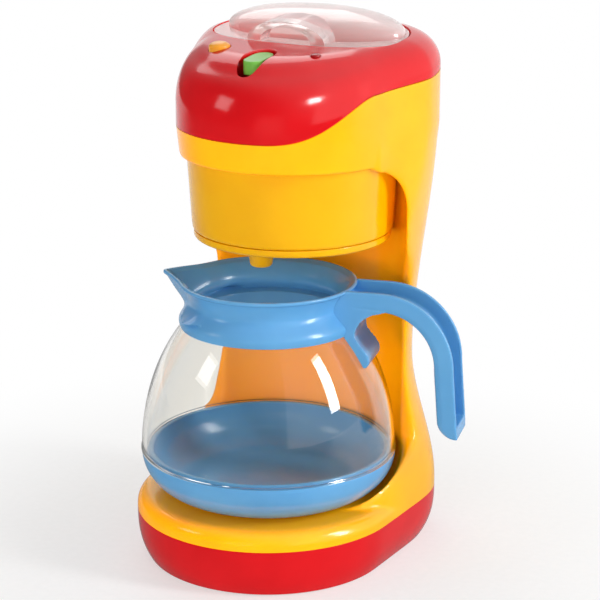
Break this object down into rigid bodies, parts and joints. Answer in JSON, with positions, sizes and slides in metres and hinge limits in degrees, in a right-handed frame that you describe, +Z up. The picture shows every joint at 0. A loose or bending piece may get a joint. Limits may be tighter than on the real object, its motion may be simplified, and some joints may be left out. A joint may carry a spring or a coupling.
{
  "type": "toy coffee maker",
  "caption": "Toy drip coffee maker for pretend play: hooded machine with tilting tank lid, push button, rocker switch and lamp, and a lift-out clear carafe with spout and handle.",
  "frame": {"origin": "on the carafe's axis, at the underside of the base where the toy stands on the table", "axes": "+Z up along the carafe's axis, -Y to the front, +X to the machine's right-hand side as seen from the front"},
  "size_m": [0.1393, 0.1314, 0.2295],
  "materials": {
    "red_abs": "glossy moulded red ABS",
    "yellow_abs": "glossy moulded yellow ABS",
    "blue_pp": "glossy moulded sky-blue ABS",
    "clear_ps": "clear polystyrene",
    "lid_pc": "hazy clear polystyrene",
    "orange_abs": "glossy amber ABS",
    "green_abs": "satin green ABS",
    "lamp_red": "red lamp lens",
    "steel": "zinc-plated steel",
    "board": "green board laminate",
    "black_plastic": "black moulded plastic",
    "cell_wrap": "printed film sleeve of a dry cell",
    "speaker_frame": "black coated speaker frame"
  },
  "bodies": {
    "machine": {"base_tub": "red_abs", "battery_door": "red_abs", "door_screw": "steel", "batteries": "cell_wrap", "battery_contacts": "steel", "speaker": "speaker_frame", "case_screws": "steel", "front_housing": "yellow_abs", "rear_cover": "yellow_abs", "cover_screws": "steel", "brew_basket": "yellow_abs", "basket_floor": "yellow_abs", "drip_nozzle": "yellow_abs", "hood": "red_abs", "hood_screws": "steel", "water_tank": "red_abs", "lid_hinge_pin": "steel", "button_spring": "steel", "rocker_pin": "steel", "circuit_board": "board", "touch_switches": "black_plastic", "indicator_lamp": "lamp_red", "battery_leads": "black_plastic"},
    "carafe": {"carafe_tray": "blue_pp", "carafe_globe": "clear_ps", "carafe_collar": "blue_pp", "carafe_handle": "blue_pp"},
    "lid": {"tank_lid": "lid_pc"},
    "button": {"power_button": "orange_abs"},
    "rocker": {"rocker_switch": "green_abs"}
  },
  "joints": [
    {"name": "carafe_out", "type": "slide", "parent": "machine", "child": "carafe", "axis": [0, -1, 0], "range_m": [0, 0.2]},
    {"name": "lid_open", "type": "hinge", "parent": "machine", "child": "lid", "pos_m": [0, 0.06207, 0.22241], "axis": [-1, 0, 0], "range_deg": [0, 95]},
    {"name": "button_press", "type": "slide", "parent": "machine", "child": "button", "axis": [0, 0, -1], "range_m": [0, 0.0016], "stiffness_N_per_m": 400, "springref_m": -0.001, "deforming": ["button_spring"]},
    {"name": "rocker_tilt", "type": "hinge", "parent": "machine", "child": "rocker", "pos_m": [0, -0.0066, 0.21], "axis": [1, 0, 0], "range_deg": [-6, 6]}
  ]
}
